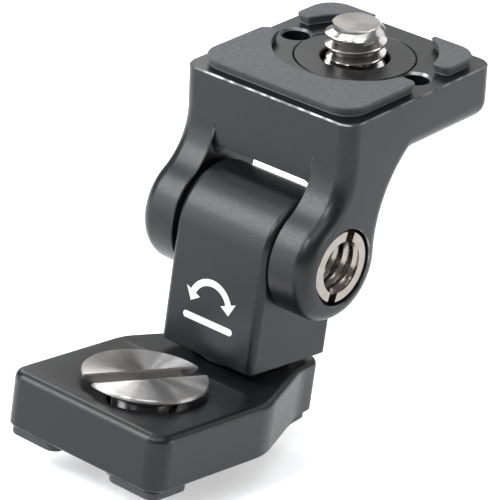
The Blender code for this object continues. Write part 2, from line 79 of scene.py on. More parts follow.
# Base. A corner is (x, y, radius).
PAD_TOP = 0.85
BASE_BOTTOM = 1.0
BASE_TOP = 6.8
BASE_FILLET = 0.8
TAIL_CORNERS = [(5.9, 17.7, 10.0), (5.26, 21.4, 1.5)]
BASE_CORNERS = [(10.25, -8.9, 2.0), (10.25, 7.7, 7.2)] + TAIL_CORNERS
REAR_PAD_CORNERS = [(9.25, 10.0, 1.5)] + TAIL_CORNERS
HEAD_RADIUS = 6.39
HEAD_TOP = 7.84
SCREW_TIP = -3.1
BASE_SLOT = 1.94
SLOT_ANGLE = math.radians(-22.6)

# Knuckle, from the tilt axis
BLOCK_RADIUS = 6.07
BLOCK_HALF = 6.08

# Fork, from the tilt axis
HALF_WIDTH = 11.0
DEPTH = 22.9
TOP = 15.17
UNDERSIDE = 9.36
BACK_CORNER = 1.8
EAR_RADIUS = 5.95
EAR_FORWARD = 0.2
FRONT_WEB = 6.5
BACK_WEB = 12.0
FORK_FILLET = 1.7
FORK_SLOT_HALF = 6.4
SCREW_BACK = 13.9
PIN_ACROSS = 7.85
PIN_RADIUS = 1.45
PIN_MOUTH = 0.25
EAR_SINK_RADIUS = 4.05
EAR_MOUTH = 0.12
PIVOT_FACE = 10.75
PIVOT_INNER = 2.6
PIVOT_MOUTH = 2.75
PIVOT_SLOT = 1.2
PIVOT_SLOT_ANGLE = math.radians(12.7)
DISC_RADIUS = 6.2
DISC_THICKNESS = 0.8


# ---------------------------------------------------------------- outlines and solids


def arc(centre, radius, start, end, steps):
    """Points from one angle in degrees to another, both ends included."""
    angles = [math.radians(start + (end - start) * i / steps) for i in range(steps + 1)]
    return [(centre[0] + radius * math.cos(a), centre[1] + radius * math.sin(a)) for a in angles]


def rounded(corners, inset=0.0, steps=14):
    """Round each inner corner (x, y, radius) of a path that keeps its inside on the left.

    The whole path is moved in by inset.
    """
    outline = []
    for before, corner, after in zip(corners, corners[1:], corners[2:]):
        along = math.atan2(corner[1] - before[1], corner[0] - before[0])
        onward = math.atan2(after[1] - corner[1], after[0] - corner[0])
        turn = math.remainder(onward - along, math.tau)
        left = math.copysign(1, turn)
        reach = corner[2] * math.tan(abs(turn) / 2)
        x = corner[0] - reach * math.cos(along) - left * corner[2] * math.sin(along)
        y = corner[1] - reach * math.sin(along) + left * corner[2] * math.cos(along)
        start = along - left * math.pi / 2
        radius = corner[2] - left * inset
        outline += arc((x, y), radius, math.degrees(start), math.degrees(start + turn), steps)
    return outline


def half_path(corners):
    """The corners with a start and an end on the middle line."""
    return [(0, corners[0][1])] + corners + [(0, corners[-1][1])]


def mirrored(half):
    return half + [(-x, y) for x, y in reversed(half)]


def evaluated(obj):
    """The object's mesh with everything applied, and the object gone."""
    bpy.context.view_layer.update()
    graph = bpy.context.evaluated_depsgraph_get()
    mesh = bpy.data.meshes.new_from_object(obj.evaluated_get(graph))
    bpy.data.objects.remove(obj, do_unlink=True)
    return mesh


def scratch(data):
    obj = bpy.data.objects.new("scratch", data)
    bpy.context.scene.collection.objects.link(obj)
    return obj


def edited(mesh, change):
    """Run change(bmesh) on the mesh."""
    shape = bmesh.new()
    shape.from_mesh(mesh)
    change(shape)
    shape.to_mesh(mesh)
    shape.free()
    return mesh


def weld(shape):
    bmesh.ops.remove_doubles(shape, verts=shape.verts, dist=WELD)
    bmesh.ops.dissolve_degenerate(shape, edges=shape.edges, dist=WELD / 2)
    bmesh.ops.recalc_face_normals(shape, faces=shape.faces)


def slab(outline, low, high, edge=0.0, rounds=4):
    """A flat outline in local x and y from low to high, its edges rounded."""
    curve = bpy.data.curves.new("slab", "CURVE")
    curve.dimensions = "2D"
    curve.fill_mode = "BOTH"
    curve.extrude = (high - low) / 2 - edge
    curve.bevel_depth = edge
    curve.bevel_resolution = rounds
    curve.offset = -edge
    spline = curve.splines.new("POLY")
    spline.points.add(len(outline) - 1)
    for point, (x, y) in zip(spline.points, outline):
        point.co = (x, y, 0.0, 1.0)
    spline.use_cyclic_u = True
    mesh = evaluated(scratch(curve))
    mesh.transform(Matrix.Translation((0, 0, (high + low) / 2)))
    mesh.materials.clear()
    return edited(mesh, weld)


def box(size, centre=(0, 0, 0), turn=None):
    mesh = bpy.data.meshes.new("box")
    edited(mesh, lambda shape: bmesh.ops.create_cube(shape, size=1.0))
    mesh.transform(Matrix.Diagonal((*size, 1)))
    if turn is not None:
        mesh.transform(turn.to_4x4())
    mesh.transform(Matrix.Translation(centre))
    return mesh


def turned(profile, at=(0, 0, 0), turn=None, steps=TURN):
    """A profile of (radius, height) points turned about z.

    It starts and ends on the axis, or else it is closed here.
    """
    rings = circle_rings(profile, steps)
    if profile[0][0] > 0:
        rings.append(rings[0])
    mesh = joined(rings)
    if turn is not None:
        mesh.transform(turn.to_4x4())
    mesh.transform(Matrix.Translation(at))
    return mesh


def angles_round(steps=TURN):
    return [math.tau * i / steps for i in range(steps + 1)]


def joined(rings):
    """Skin a row of open rings, each closed on itself by its last point."""
    points = [point for ring in rings for point in ring]
    size = len(rings[0])
    faces = []
    for row in range(len(rings) - 1):
        for i in range(size - 1):
            first = row * size + i
            faces.append((first, first + 1, first + size + 1, first + size))
    mesh = bpy.data.meshes.new("skin")
    mesh.from_pydata(points, [], faces)
    return edited(mesh, weld)


def thread_rings(low, high, limit, crest, root, steps=TURN):
    """Rings of a screw thread between two heights, bottom to top.

    limit(radius, height) trims its ends.
    """
    shoulder = crest - 0.04 * (crest - root)
    form = [(0.0, root), (0.10, root), (0.40, shoulder), (0.45, crest)]  # part of a pitch, radius
    form += [(0.55, crest), (0.60, shoulder), (0.90, root)]
    turns = math.ceil((high - low) / PITCH) + 2
    rings = []
    for turn in range(-1, turns):
        for part, radius in form:
            ring = []
            for i, angle in enumerate(angles_round(steps)):
                height = min(max(low + PITCH * (turn + part + i / steps), low), high)
                reach = limit(radius, height)
                ring.append((reach * math.cos(angle), reach * math.sin(angle), height))
            rings.append(ring)
    return rings


def circle_rings(profile, steps=TURN):
    """A ring for each (radius, height) point."""
    angles = angles_round(steps)
    return [[(r * math.cos(a), r * math.sin(a), z) for a in angles] for r, z in profile]


def carve(mesh, *cutters):
    """The mesh less each cutter."""
    obj = scratch(mesh)
    knives = [scratch(cutter) for cutter in cutters]
    for knife in knives:
        boolean = obj.modifiers.new("cut", "BOOLEAN")
        boolean.operation = "DIFFERENCE"
        boolean.solver = "EXACT"
        boolean.object = knife
    mesh = evaluated(obj)
    for knife in knives:
        bpy.data.objects.remove(knife, do_unlink=True)
    return edited(mesh, weld)


def chamfer(mesh, width, chosen, material=1, clamp=True):
    """Break the sharp edges whose middle chosen(point) picks. The new faces take this material.

    Without clamp the chamfer keeps its width where the edges beside it are short.
    """

    def change(shape):
        edges = []
        for edge in shape.edges:
            if len(edge.link_faces) != 2:
                continue
            if math.degrees(edge.calc_face_angle(0)) < SHARP_ANGLE:
                continue
            if chosen((edge.verts[0].co + edge.verts[1].co) / 2):
                edges.append(edge)
        made = bmesh.ops.bevel(
            shape,
            geom=edges,
            offset=width,
            offset_type="OFFSET",
            segments=1,
            profile=0.5,
            affect="EDGES",
            clamp_overlap=clamp,
            material=-1,
        )
        for face in made["faces"]:
            face.material_index = material

    return edited(mesh, change)


def piece(name, mesh, frame, body, node, *materials, sharp=32.0):
    """Make the mesh a visible piece that stands for a CAD node and rides on its body."""
    mesh.name = name
    mesh.transform(Matrix.Scale(MM, 4))
    if frame is FORK:  # turned in the mesh, so that its bounding box is square to the CAD's frame
        mesh.transform(frame)
        frame = BASE
    finishes = [min(face.material_index, len(materials) - 1) for face in mesh.polygons]
    mesh.materials.clear()  # this also sets every face back to the first material
    for material in materials:
        mesh.materials.append(material)
    for face, finish in zip(mesh.polygons, finishes):
        face.material_index = finish
    mesh.shade_smooth()
    mesh.set_sharp_from_angle(angle=math.radians(sharp))
    obj = bpy.data.objects.new(name, mesh)
    bpy.context.scene.collection.objects.link(obj)
    obj.matrix_world = frame
    weighted = obj.modifiers.new("even_shading", "WEIGHTED_NORMAL")
    weighted.keep_sharp = True
    weighted.weight = 80
    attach(obj, body)
    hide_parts(node)
    return obj


# ---------------------------------------------------------------- materials


class Surface:
    """A Principled material and the few node steps that every material here uses."""

    def __init__(self, name, **settings):
        self.material = bpy.data.materials.new(name)
        self.material.use_nodes = True
        self.tree = self.material.node_tree
        self.shader = self.tree.nodes["Principled BSDF"]
        for socket, value in settings.items():
            self.shader.inputs[socket.replace("_", " ")].default_value = value
        self.place = self.tree.nodes.new("ShaderNodeTexCoord").outputs["Object"]

    def link(self, source, target):
        self.tree.links.new(source, target)

    def noise(self, size, detail=2.0, stretch=None):
        """A noise of grains this many millimetres across."""
        node = self.tree.nodes.new("ShaderNodeTexNoise")
        node.inputs["Scale"].default_value = 1 / (size * MM)
        node.inputs["Detail"].default_value = detail
        place = self.place
        if stretch is not None:
            mapping = self.tree.nodes.new("ShaderNodeMapping")
            mapping.inputs["Scale"].default_value = stretch
            self.link(place, mapping.inputs["Vector"])
            place = mapping.outputs["Vector"]
        self.link(place, node.inputs["Vector"])
        return node.outputs["Fac"]

    def cells(self, size):
        node = self.tree.nodes.new("ShaderNodeTexVoronoi")
        node.inputs["Scale"].default_value = 1 / (size * MM)
        self.link(self.place, node.inputs["Vector"])
        return node.outputs["Distance"]

    def rings(self, size, axis):
        """Turning marks this many millimetres apart, round the piece's own axis."""
        node = self.tree.nodes.new("ShaderNodeTexWave")
        node.wave_type = "RINGS"
        node.rings_direction = axis
        node.inputs["Scale"].default_value = WAVE_STEP / (size * MM)
        node.inputs["Distortion"].default_value = 1.5
        node.inputs["Detail"].default_value = 2.0
        self.link(self.place, node.inputs["Vector"])
        return node.outputs["Fac"]

    def spread(self, source, low, high, start=0.3, end=0.7):
        """Bring a noise to a range of numbers."""
        node = self.tree.nodes.new("ShaderNodeMapRange")
        node.inputs["From Min"].default_value = start
        node.inputs["From Max"].default_value = end
        node.inputs["To Min"].default_value = low
        node.inputs["To Max"].default_value = high
        self.link(source, node.inputs["Value"])
        return node.outputs["Result"]

    def tint(self, source, first, second, start=0.3, end=0.7):
        """Bring a noise to a range of colours."""
        node = self.tree.nodes.new("ShaderNodeValToRGB")
        node.color_ramp.elements[0].position = start
        node.color_ramp.elements[0].color = (*first, 1)
        node.color_ramp.elements[1].position = end
        node.color_ramp.elements[1].color = (*second, 1)
        self.link(source, node.inputs["Fac"])
        return node.outputs["Color"]

    def bump(self, source, height, strength=1.0, under=None):
        """Raise the surface by a noise, height in millimetres."""
        node = self.tree.nodes.new("ShaderNodeBump")
        node.inputs["Strength"].default_value = strength
        node.inputs["Distance"].default_value = height * MM
        self.link(source, node.inputs["Height"])
        if under is not None:
            self.link(under, node.inputs["Normal"])
        return node.outputs["Normal"]

    def set(self, socket, source):
        self.link(source, self.shader.inputs[socket])


def anodised(name, roughness=0.32):
    """Black anodising over bead-blasting: a slight mottle in colour and gloss, and a fine grain."""
    dark, light = (0.0035, 0.0037, 0.0042), (0.0063, 0.0066, 0.0073)
    s = Surface(name, Roughness=roughness, Specular_IOR_Level=0.32)
    s.set("Base Color", s.tint(s.noise(0.24, 4.0), dark, light))
    s.set("Roughness", s.spread(s.noise(0.3, 3.0), roughness - 0.04, roughness + 0.05))
    s.set("Normal", s.bump(s.noise(0.16, 3.0), 0.006, 0.55))
    return s.material


def worn_edge(name, bare, start, end):
    """A chamfer where the black has rubbed thin in places and bare aluminium shows."""
    s = Surface(name, Roughness=0.34)
    wear = s.noise(1.4, 5.0)
    s.set("Base Color", s.tint(wear, (0.03, 0.03, 0.032), (bare, bare, bare), start, end))
    s.set("Metallic", s.spread(wear, 0.25, 0.95, start, end))
    s.set("Normal", s.bump(s.noise(0.1), 0.005, 0.5))
    return s.material


def rubber(name, dark=(0.025, 0.0263, 0.0298), light=(0.0367, 0.0387, 0.0444)):
    """Moulded rubber: a bluish grey with a fine pebble and dusty variation."""
    s = Surface(name, Roughness=0.62)
    s.shader.inputs["Specular IOR Level"].default_value = 0.45
    s.shader.inputs["Sheen Weight"].default_value = 0.12
    s.shader.inputs["Sheen Roughness"].default_value = 0.5
    s.set("Base Color", s.tint(s.noise(0.2, 4.0), dark, light, 0.35, 0.65))
    s.set("Roughness", s.spread(s.noise(0.35, 2.0), 0.52, 0.72))
    grain = s.bump(s.noise(0.13, 3.0), 0.016, 0.7)
    s.set("Normal", s.bump(s.cells(0.3), 0.02, 0.6, grain))
    return s.material


def turned_steel(name, axis, roughness=0.2, anisotropy=0.0, colour=(0.56, 0.535, 0.515)):
    """Stainless steel straight from the lathe: rings round the axis, and streaks in its gloss."""
    s = Surface(name, Metallic=1.0, Roughness=roughness, Anisotropic=anisotropy)
    if anisotropy:
        s.shader.inputs["Anisotropic Rotation"].default_value = 0.25
    dim = tuple(c * 0.86 for c in colour)
    s.set("Base Color", s.tint(s.noise(0.8, 3.0), dim, colour))
    s.set("Roughness", s.spread(s.rings(0.13, axis), roughness - 0.03, roughness + 0.05, 0.0, 1.0))
    rings = s.bump(s.rings(0.09, axis), 0.0008, 0.6)
    s.set("Normal", s.bump(s.noise(0.25, 3.0), 0.0015, 0.4, rings))
    if anisotropy:
        tangent = s.tree.nodes.new("ShaderNodeTangent")
        tangent.direction_type = "RADIAL"
        tangent.axis = axis
        s.set("Tangent", tangent.outputs["Tangent"])
    return s.material


def spring_steel(name):
    s = Surface(name, Metallic=1.0, Roughness=0.35)
    s.set("Base Color", s.tint(s.noise(0.7, 4.0), (0.11, 0.11, 0.12), (0.22, 0.21, 0.21)))
    s.set("Roughness", s.spread(s.noise(0.3, 2.0), 0.28, 0.45))
    s.set("Normal", s.bump(s.noise(0.12), 0.003, 0.5))
    return s.material


def nylon(name):
    s = Surface(name, Roughness=0.5)
    s.set("Base Color", s.tint(s.noise(1.0, 3.0), (0.016, 0.016, 0.017), (0.028, 0.028, 0.03)))
    s.set("Roughness", s.spread(s.noise(0.5), 0.45, 0.6))
    s.set("Normal", s.bump(s.noise(0.15, 3.0), 0.004, 0.5))
    return s.material


def printed(name):
    """Silver-white ink with a slight grain and thin spots."""
    s = Surface(name, Roughness=0.45)
    thin, thick = (0.42, 0.42, 0.41), (0.66, 0.66, 0.65)
    s.set("Base Color", s.tint(s.noise(0.16, 4.0), thin, thick, 0.25, 0.5))
    s.set("Normal", s.bump(s.noise(0.1), 0.004, 0.5))
    return s.material


def paint_node(node, material):
    """Give a CAD node that stays as it is its material."""
    slots = frame["nodes"][node].data.materials
    slots.clear()
    slots.append(material)


# ---------------------------------------------------------------- frame

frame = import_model()
joints = {joint["name"]: joint for joint in frame["joints"]}
HINGE_AT = Vector(joints["tilt"]["pos_m"])
NORMAL = Vector(joints["top_screw_turn"]["axis"])
TILT = math.atan2(-NORMAL.y, NORMAL.z)
BASE = Matrix.Identity(4)
HINGE = Matrix.Translation(HINGE_AT)
FORK = HINGE @ Matrix.Rotation(TILT, 4, "X")
TOP_SCREW = FORK @ Matrix.Translation((0, SCREW_BACK * MM, 0))
HINGE_BACK = HINGE_AT.y / MM
KNUCKLE_BOTTOM = 7.7 - HINGE_AT.z / MM

SIDEWAYS = Matrix(((0, 0, 1), (1, 0, 0), (0, 1, 0)))
FACING_FRONT = Matrix(((1, 0, 0), (0, 0, -1), (0, 1, 0)))
TO_RIGHT = Matrix.Rotation(math.pi / 2, 3, "Y")
TO_LEFT = Matrix.Rotation(-math.pi / 2, 3, "Y")

ANODISED = anodised("black_anodised")
ANODISED_DISC = anodised("black_anodised_turned", roughness=0.33)
EDGE = worn_edge("black_anodised_edge", 0.12, 0.5, 0.62)
SHARP_EDGE = worn_edge("black_anodised_worn_edge", 0.2, 0.4, 0.62)
RUBBER = rubber("rubber")
# The pads under the base plate take a darker copy of the rubber: painted shade for where they sit
# under the plate.
SHADED_BASE_RUBBER = rubber("base_rubber_painted_shade", (0.012, 0.012, 0.014), (0.02, 0.02, 0.023))
FACE_STEEL = turned_steel("stainless_face", "Z", 0.31, 1.0, (0.52, 0.5, 0.485))
EDGE_STEEL = turned_steel("stainless_edge", "Z", 0.16)
THREAD_STEEL = turned_steel("stainless_thread", "Z", 0.2, 0.3)
PIVOT_STEEL = turned_steel("stainless_pivot", "X", 0.2, 0.4, (0.33, 0.3, 0.278))
# The pivot slots' walls and floor take a dark brown copy of the steel: painted shade in the slots.
SHADED_SLOT_STEEL = turned_steel("stainless_slot_painted_shade", "X", 0.4, 0.0, (0.16, 0.125, 0.105))


# ---------------------------------------------------------------- base


def make_base_plate():
    spare = 4  # drawn deeper than it is and cut off flat, so that only its top edge is filleted
    outline = mirrored(rounded(half_path(BASE_CORNERS)))
    plate = slab(outline, BASE_BOTTOM - spare, BASE_TOP, BASE_FILLET, 6)
    pocket_radius, pocket_top = 4.6, 3.0  # for the clip
    sink_radius, sink_depth = 6.85, 1.899
    cone = 3.3 / sink_depth  # how fast the screw's mouth widens
    mouth = [(0, -2), (pocket_radius, -2), (pocket_radius, pocket_top)]
    mouth += [(CLEARANCE_RADIUS, pocket_top), (CLEARANCE_RADIUS, BASE_TOP - sink_depth)]
    mouth += [(sink_radius, BASE_TOP), (sink_radius + cone, BASE_TOP + 1), (0, BASE_TOP + 1)]
    seat_radius, seat, shank = 3.7, 4.0, 2.4  # of the swivel screw's head
    hole = [(0, -2), (seat_radius + 0.5, -2), (seat_radius + 0.5, 0.9), (seat_radius, 1.4)]
    hole += [(seat_radius, seat), (shank, seat), (shank, 8), (0, 8)]
    plate = carve(
        plate,
        box((60, 90, 2 * spare), (0, 0, BASE_BOTTOM - spare)),
        turned(mouth),
        turned(hole, (0, HINGE_BACK, 0)),
    )

    def on_foot(point):
        return abs(point.z - BASE_BOTTOM) < 0.01 and math.hypot(point.x, point.y) > 5

    chamfer(plate, 0.18, on_foot)
    piece("base_plate_body", plate, BASE, "base", "base_plate", ANODISED, EDGE)


def make_base_pads():
    front, inner, back, outer, radius = -8.4, 3.4, -2.9, 9.75, 1.2
    edge, rounds = 0.1, 2
    outline = arc((outer - radius, front + radius), radius, -90, 0, 8)
    outline += arc((outer - radius, back - radius), radius, 0, 90, 8)
    outline += [(inner, back)] + arc((inner + radius, front + radius), radius, 180, 270, 8)
    for side, name in ((1, "right"), (-1, "left")):
        pad = slab([(side * x, y) for x, y in outline], 0, PAD_TOP, edge, rounds)
        node = f"base_pad_front_{name}"
        piece(f"base_rubber_painted_shade_{name}", pad, BASE, "base", node, SHADED_BASE_RUBBER)
    outline = mirrored(rounded(half_path(REAR_PAD_CORNERS), 0.6))
    rear = slab(outline, 0, PAD_TOP, edge, rounds)
    rear = carve(rear, turned([(0, -1), (3.8, -1), (3.8, 2), (0, 2)], (0, HINGE_BACK, 0)))
    piece("base_rubber_painted_shade_rear", rear, BASE, "base", "base_pad_rear", SHADED_BASE_RUBBER)


def make_base_screw():
    neck, thread_top, groove_top = 3.075, 2.25, 2.95
    profile = [(0, HEAD_TOP), (HEAD_RADIUS - 0.1, HEAD_TOP), (HEAD_RADIUS, HEAD_TOP - 0.1)]
    profile += [(HEAD_RADIUS, 7.5), (neck, 5.65), (neck, groove_top)]
    profile += [(GROOVE_RADIUS, groove_top), (GROOVE_RADIUS, thread_top)]

    def limit(radius, height):
        above_tip, below_groove = height - SCREW_TIP, thread_top - height
        return min(radius, GROOVE_RADIUS + above_tip * 1.25, GROOVE_RADIUS + below_groove * 2)

    rings = circle_rings(profile)
    rings += thread_rings(SCREW_TIP, thread_top, limit, THREAD_RADIUS, THREAD_ROOT)[::-1]
    rings += circle_rings([(GROOVE_RADIUS, SCREW_TIP), (0, SCREW_TIP)])
    turn = Matrix.Rotation(SLOT_ANGLE, 3, "Z")
    screw = carve(joined(rings), box((BASE_SLOT, 20, 2.3), (0, 0, HEAD_TOP), turn))
    along = turn @ Vector((0, 1, 0))

    def at_slot(point):
        across = abs(point.x * along.y - point.y * along.x)
        return point.z > HEAD_TOP - 0.04 and abs(across - BASE_SLOT / 2) < 0.02

    chamfer(screw, 0.15, at_slot, clamp=False)
    piece("base_screw_turned", screw, BASE, "base_screw", "base_screw", FACE_STEEL, EDGE_STEEL)


# ---------------------------------------------------------------- knuckle


def make_knuckle():
    spare = 3  # below the block, as on the base plate
    outline = arc((0, 0), BLOCK_RADIUS, 0, 180, 60)
    outline += [(side * BLOCK_RADIUS, KNUCKLE_BOTTOM - spare) for side in (-1, 1)]
    block = slab(outline, -BLOCK_HALF, BLOCK_HALF, 0.8, 6)
    block.transform(SIDEWAYS.to_4x4())
    bore, mouth = 3.45, 0.3
    cross_bore = [(0, -8), (5.67, -8), (bore, mouth - BLOCK_HALF)]
    cross_bore += [(bore, BLOCK_HALF - mouth), (5.67, 8), (0, 8)]
    low, screw = KNUCKLE_BOTTOM, 2.4
    block = carve(
        block,
        box((60, 60, 4 * spare), (0, 0, low - 2 * spare)),
        turned(cross_bore, turn=TO_RIGHT),
        turned([(0, low - 1), (screw, low - 1), (screw, low + 5.5), (0, low + 6.5)]),
    )
    chamfer(block, 0.15, lambda p: abs(p.z - low) < 0.01 and math.hypot(p.x, p.y) > 3)
    piece("knuckle_block_body", block, HINGE, "knuckle", "knuckle_block", ANODISED, EDGE)


def make_mark():
    """A printed pictogram: a two-headed arrow that bows over a bar."""
    middle, radius, start, end = (-0.2, -6.9), 2.5, 22, 158
    stroke, head, point = 0.36, 1.0, 25  # half widths of the stroke and the head, and its degrees
    below, half_bar, thickness = 1.75, 2.9, 0.02

    def polar(reach, angle):
        return arc(middle, reach, angle, angle, 1)[0]

    def arrow_head(angle, tip, side):
        near, far = radius + side * head, radius - side * head
        return [polar(near, angle), polar(radius, tip), polar(far, angle)]

    arrow = arc(middle, radius + stroke, start, end, 24) + arrow_head(end, end + point, 1)
    arrow += arc(middle, radius - stroke, end, start, 24) + arrow_head(start, start - point, -1)
    x, y = middle[0], middle[1] - below
    bar = arc((x + half_bar, y), stroke, -90, 90, 8) + arc((x - half_bar, y), stroke, 90, 270, 8)
    mark = bpy.data.meshes.new("mark")

    def fill(shape):
        for outline in (arrow, bar):
            shape.from_mesh(slab(outline, 0.0, thickness))

    edited(mark, fill)
    mark.transform(Matrix.Translation((0, -BLOCK_RADIUS, 0)) @ FACING_FRONT.to_4x4())
    mark.transform(Matrix.Scale(MM, 4))
    mark.materials.append(printed("printed_mark"))
    obj = bpy.data.objects.new("knuckle_print", mark)
    bpy.context.scene.collection.objects.link(obj)
    obj.matrix_world = HINGE
    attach(obj, "knuckle")


# ---------------------------------------------------------------- fork


def fork_outline(above):
    """The fork's side, in (back, up) from the tilt axis, carried on above the platform's top."""
    beside = FRONT_WEB - EAR_FORWARD
    front_height = math.sqrt((EAR_RADIUS + FRONT_WEB) ** 2 - beside**2)
    turn = math.degrees(math.atan2(front_height, beside))
    back_turn = math.degrees(math.asin(UNDERSIDE / BACK_WEB))
    back_middle = (EAR_RADIUS - EAR_FORWARD + BACK_WEB, 0)
    corner_middle = (DEPTH - BACK_CORNER, UNDERSIDE + BACK_CORNER)
    outline = [(0, TOP + above)]
    outline += arc((-FRONT_WEB, front_height), FRONT_WEB, 0, -turn, 24)
    outline += arc((-EAR_FORWARD, 0), EAR_RADIUS, 180 - turn, 360, 64)[1:]
    outline += arc(back_middle, BACK_WEB, 180, 180 - back_turn, 28)[1:]
    outline += arc(corner_middle, BACK_CORNER, -90, 0, 12)
    outline += [(DEPTH, TOP + above)]
    return outline


def fork_cutters(spare):
    """What is cut from the fork's solid, which is drawn higher than it is by spare."""
    slot = slab(mirrored([(FORK_SLOT_HALF, -40)] + arc((5.2, 6.5), 1.2, 0, 90, 12)), -40, 40)
    slot.transform(FACING_FRONT.to_4x4())
    over, out = TOP + 0.5, HALF_WIDTH + 0.5
    head_radius, head_top, clip_radius, clip_low, clip_high = 4.7, 12.15, 4.8, 13.1, 14.3
    screw = [(0, 0), (head_radius, 0), (head_radius, head_top), (CLEARANCE_RADIUS, head_top)]
    screw += [(CLEARANCE_RADIUS, clip_low), (clip_radius, clip_low), (clip_radius, clip_high)]
    screw += [(6.3, clip_high), (6.3, TOP - 0.1), (6.9, over), (0, over)]
    pin = [(0, 10.6), (PIN_RADIUS, 11.2), (PIN_RADIUS, TOP - PIN_MOUTH), (2.2, over), (0, over)]
    ear = [(0, 7.75), (EAR_SINK_RADIUS, 7.75), (EAR_SINK_RADIUS, HALF_WIDTH - EAR_MOUTH)]
    ear += [(4.67, out), (0, out)]
    cutters = [
        box((60, 90, 2 * spare), (0, 0, TOP + spare)),
        slot,
        box((2 * FORK_SLOT_HALF, 40, 40), (0, -20.004, -8)),
        turned([(0, -40), (3.5, -40), (3.5, 40), (0, 40)], turn=TO_RIGHT),
        turned(screw, (0, SCREW_BACK, 0)),
    ]
    for side, turn in ((1, TO_RIGHT), (-1, TO_LEFT)):
        cutters.append(turned(ear, turn=turn))
        cutters.append(turned(pin, (side * PIN_ACROSS, SCREW_BACK, 0)))
    return cutters


def make_fork():
    spare = 4
    fork = slab(fork_outline(spare), -HALF_WIDTH, HALF_WIDTH, FORK_FILLET, 6)
    fork.transform(SIDEWAYS.to_4x4())
    fork = carve(fork, *fork_cutters(spare))

    def on_rim(point):
        outside = point.y < 1.8 or point.y > DEPTH - 1.8 or abs(point.x) > 9.8
        return outside and abs(point.z - TOP) < 0.01

    chamfer(fork, 0.15, on_rim, material=2, clamp=False)

    def at_slot(point):
        """The slot's edges, but not where the ears run out thinner than the chamfer."""
        inside = abs(point.x) < FORK_SLOT_HALF + 0.01 and point.z < 9.5
        return inside and math.hypot(point.y, point.z) > 3.6

    chamfer(fork, 0.1, at_slot, clamp=False)
    for face in fork.polygons:
        x, y, z = abs(face.center.x), face.center.y, face.center.z
        from_pin = math.hypot(x - PIN_ACROSS, y - SCREW_BACK)
        pin_mouth = TOP - PIN_MOUTH < z < TOP - 0.01 and from_pin < PIN_RADIUS + 0.3
        in_mouth = HALF_WIDTH - EAR_MOUTH < x < HALF_WIDTH - 0.01
        ear_mouth = in_mouth and math.hypot(y, z) < EAR_SINK_RADIUS + 0.15
        if pin_mouth or ear_mouth:
            face.material_index = 2
    materials = (ANODISED, EDGE, SHARP_EDGE)
    piece("tilt_fork_body", fork, FORK, "fork", "tilt_fork", *materials)


def make_pivots():
    """Hollow slotted bolts, threaded inside."""
    head, foot, shank = 3.85, 8.0, 3.3
    outside = [(PIVOT_MOUTH, PIVOT_FACE), (head - 0.15, PIVOT_FACE), (head, PIVOT_FACE - 0.15)]
    outside += [(head, foot), (shank, foot), (shank, PIVOT_INNER + 0.1), (3.2, PIVOT_INNER)]

    def limit(radius, height):
        """The thread's radius, opened to the mouth at the face and run out at the inner end."""
        deep = PIVOT_FACE - height
        least = max(radius, PIVOT_MOUTH - deep, 3.18 - (height - PIVOT_INNER))
        return min(least, PIVOT_MOUTH + 1.5 * deep)

    rings = circle_rings(outside)
    rings += thread_rings(PIVOT_INNER, PIVOT_FACE, limit, BORE_RADIUS, BORE_ROOT)
    rings.append(rings[0])
    lean = Matrix.Rotation(-PIVOT_SLOT_ANGLE, 3, "X")
    for name, turn, side in (("right", TO_RIGHT, 1), ("left", TO_LEFT, -1)):
        bolt = joined(rings)
        bolt.transform(turn.to_4x4())
        bolt = carve(bolt, box((2.4, PIVOT_SLOT, 12), (side * PIVOT_FACE, 0, 0), lean))
        # The faces inside the slot take the dark steel, painted shade.
        for face in bolt.polygons:
            spot = lean.transposed() @ face.center
            behind_face = 9.5 < abs(spot.x) < PIVOT_FACE - 0.02
            if behind_face and abs(spot.y) < PIVOT_SLOT / 2 + 0.01 and abs(spot.z) > 2.6:
                face.material_index = 1
        node = f"pivot_bolt_{name}"
        piece(f"pivot_{name}", bolt, HINGE, node, node, PIVOT_STEEL, SHADED_SLOT_STEEL, sharp=40)


# ---------------------------------------------------------------- platform


def rubber_pad(outline):
    """A pad on the platform, its upper edge softly rounded and its side drawn in at the foot."""
    low, high, foot, draw = TOP + 0.05, TOP + 1.05, TOP + 0.5, 0.3
    pad = slab(outline, low, high, 0.16, 4)

    def draw_in(shape):
        for vert in shape.verts:
            outward = vert.normal.to_2d().to_3d()
            if vert.co.z < foot and outward.length > 0.3:
                vert.co -= outward * draw

    return edited(pad, draw_in)


def make_top_pads():
    edge, corner, tip, inset, reach = HALF_WIDTH - 0.9, 2.8, 0.9, 0.9, 8.5
    front_end, rear_start, gap = 11.5, 16.2, 3.9
    back = DEPTH - inset
    turn = math.degrees(math.asin((front_end - SCREW_BACK) / reach))
    half = arc((edge - corner, inset + corner), corner, -90, 0, 16)
    half += arc((edge - tip, front_end - tip), tip, 0, 90, 8)
    half += arc((0, SCREW_BACK), reach, turn, -90, 40)[:-1]
    piece("top_rubber_front", rubber_pad(mirrored(half)), FORK, "fork", "top_pad_front", RUBBER)
    start = math.degrees(math.asin((rear_start - SCREW_BACK) / reach))
    end = math.degrees(math.acos(gap / reach))
    outline = arc((0, SCREW_BACK), reach, end, start, 24)
    outline += arc((edge - tip, rear_start + tip), tip, -90, 0, 8)
    outline += arc((edge - corner, back - corner), corner, 0, 90, 16)
    outline += [(gap, back)]
    for side, name in ((1, "right"), (-1, "left")):
        pad = rubber_pad([(side * x, y) for x, y in outline])
        piece(f"top_rubber_rear_{name}", pad, FORK, "fork", f"top_pad_rear_{name}", RUBBER)


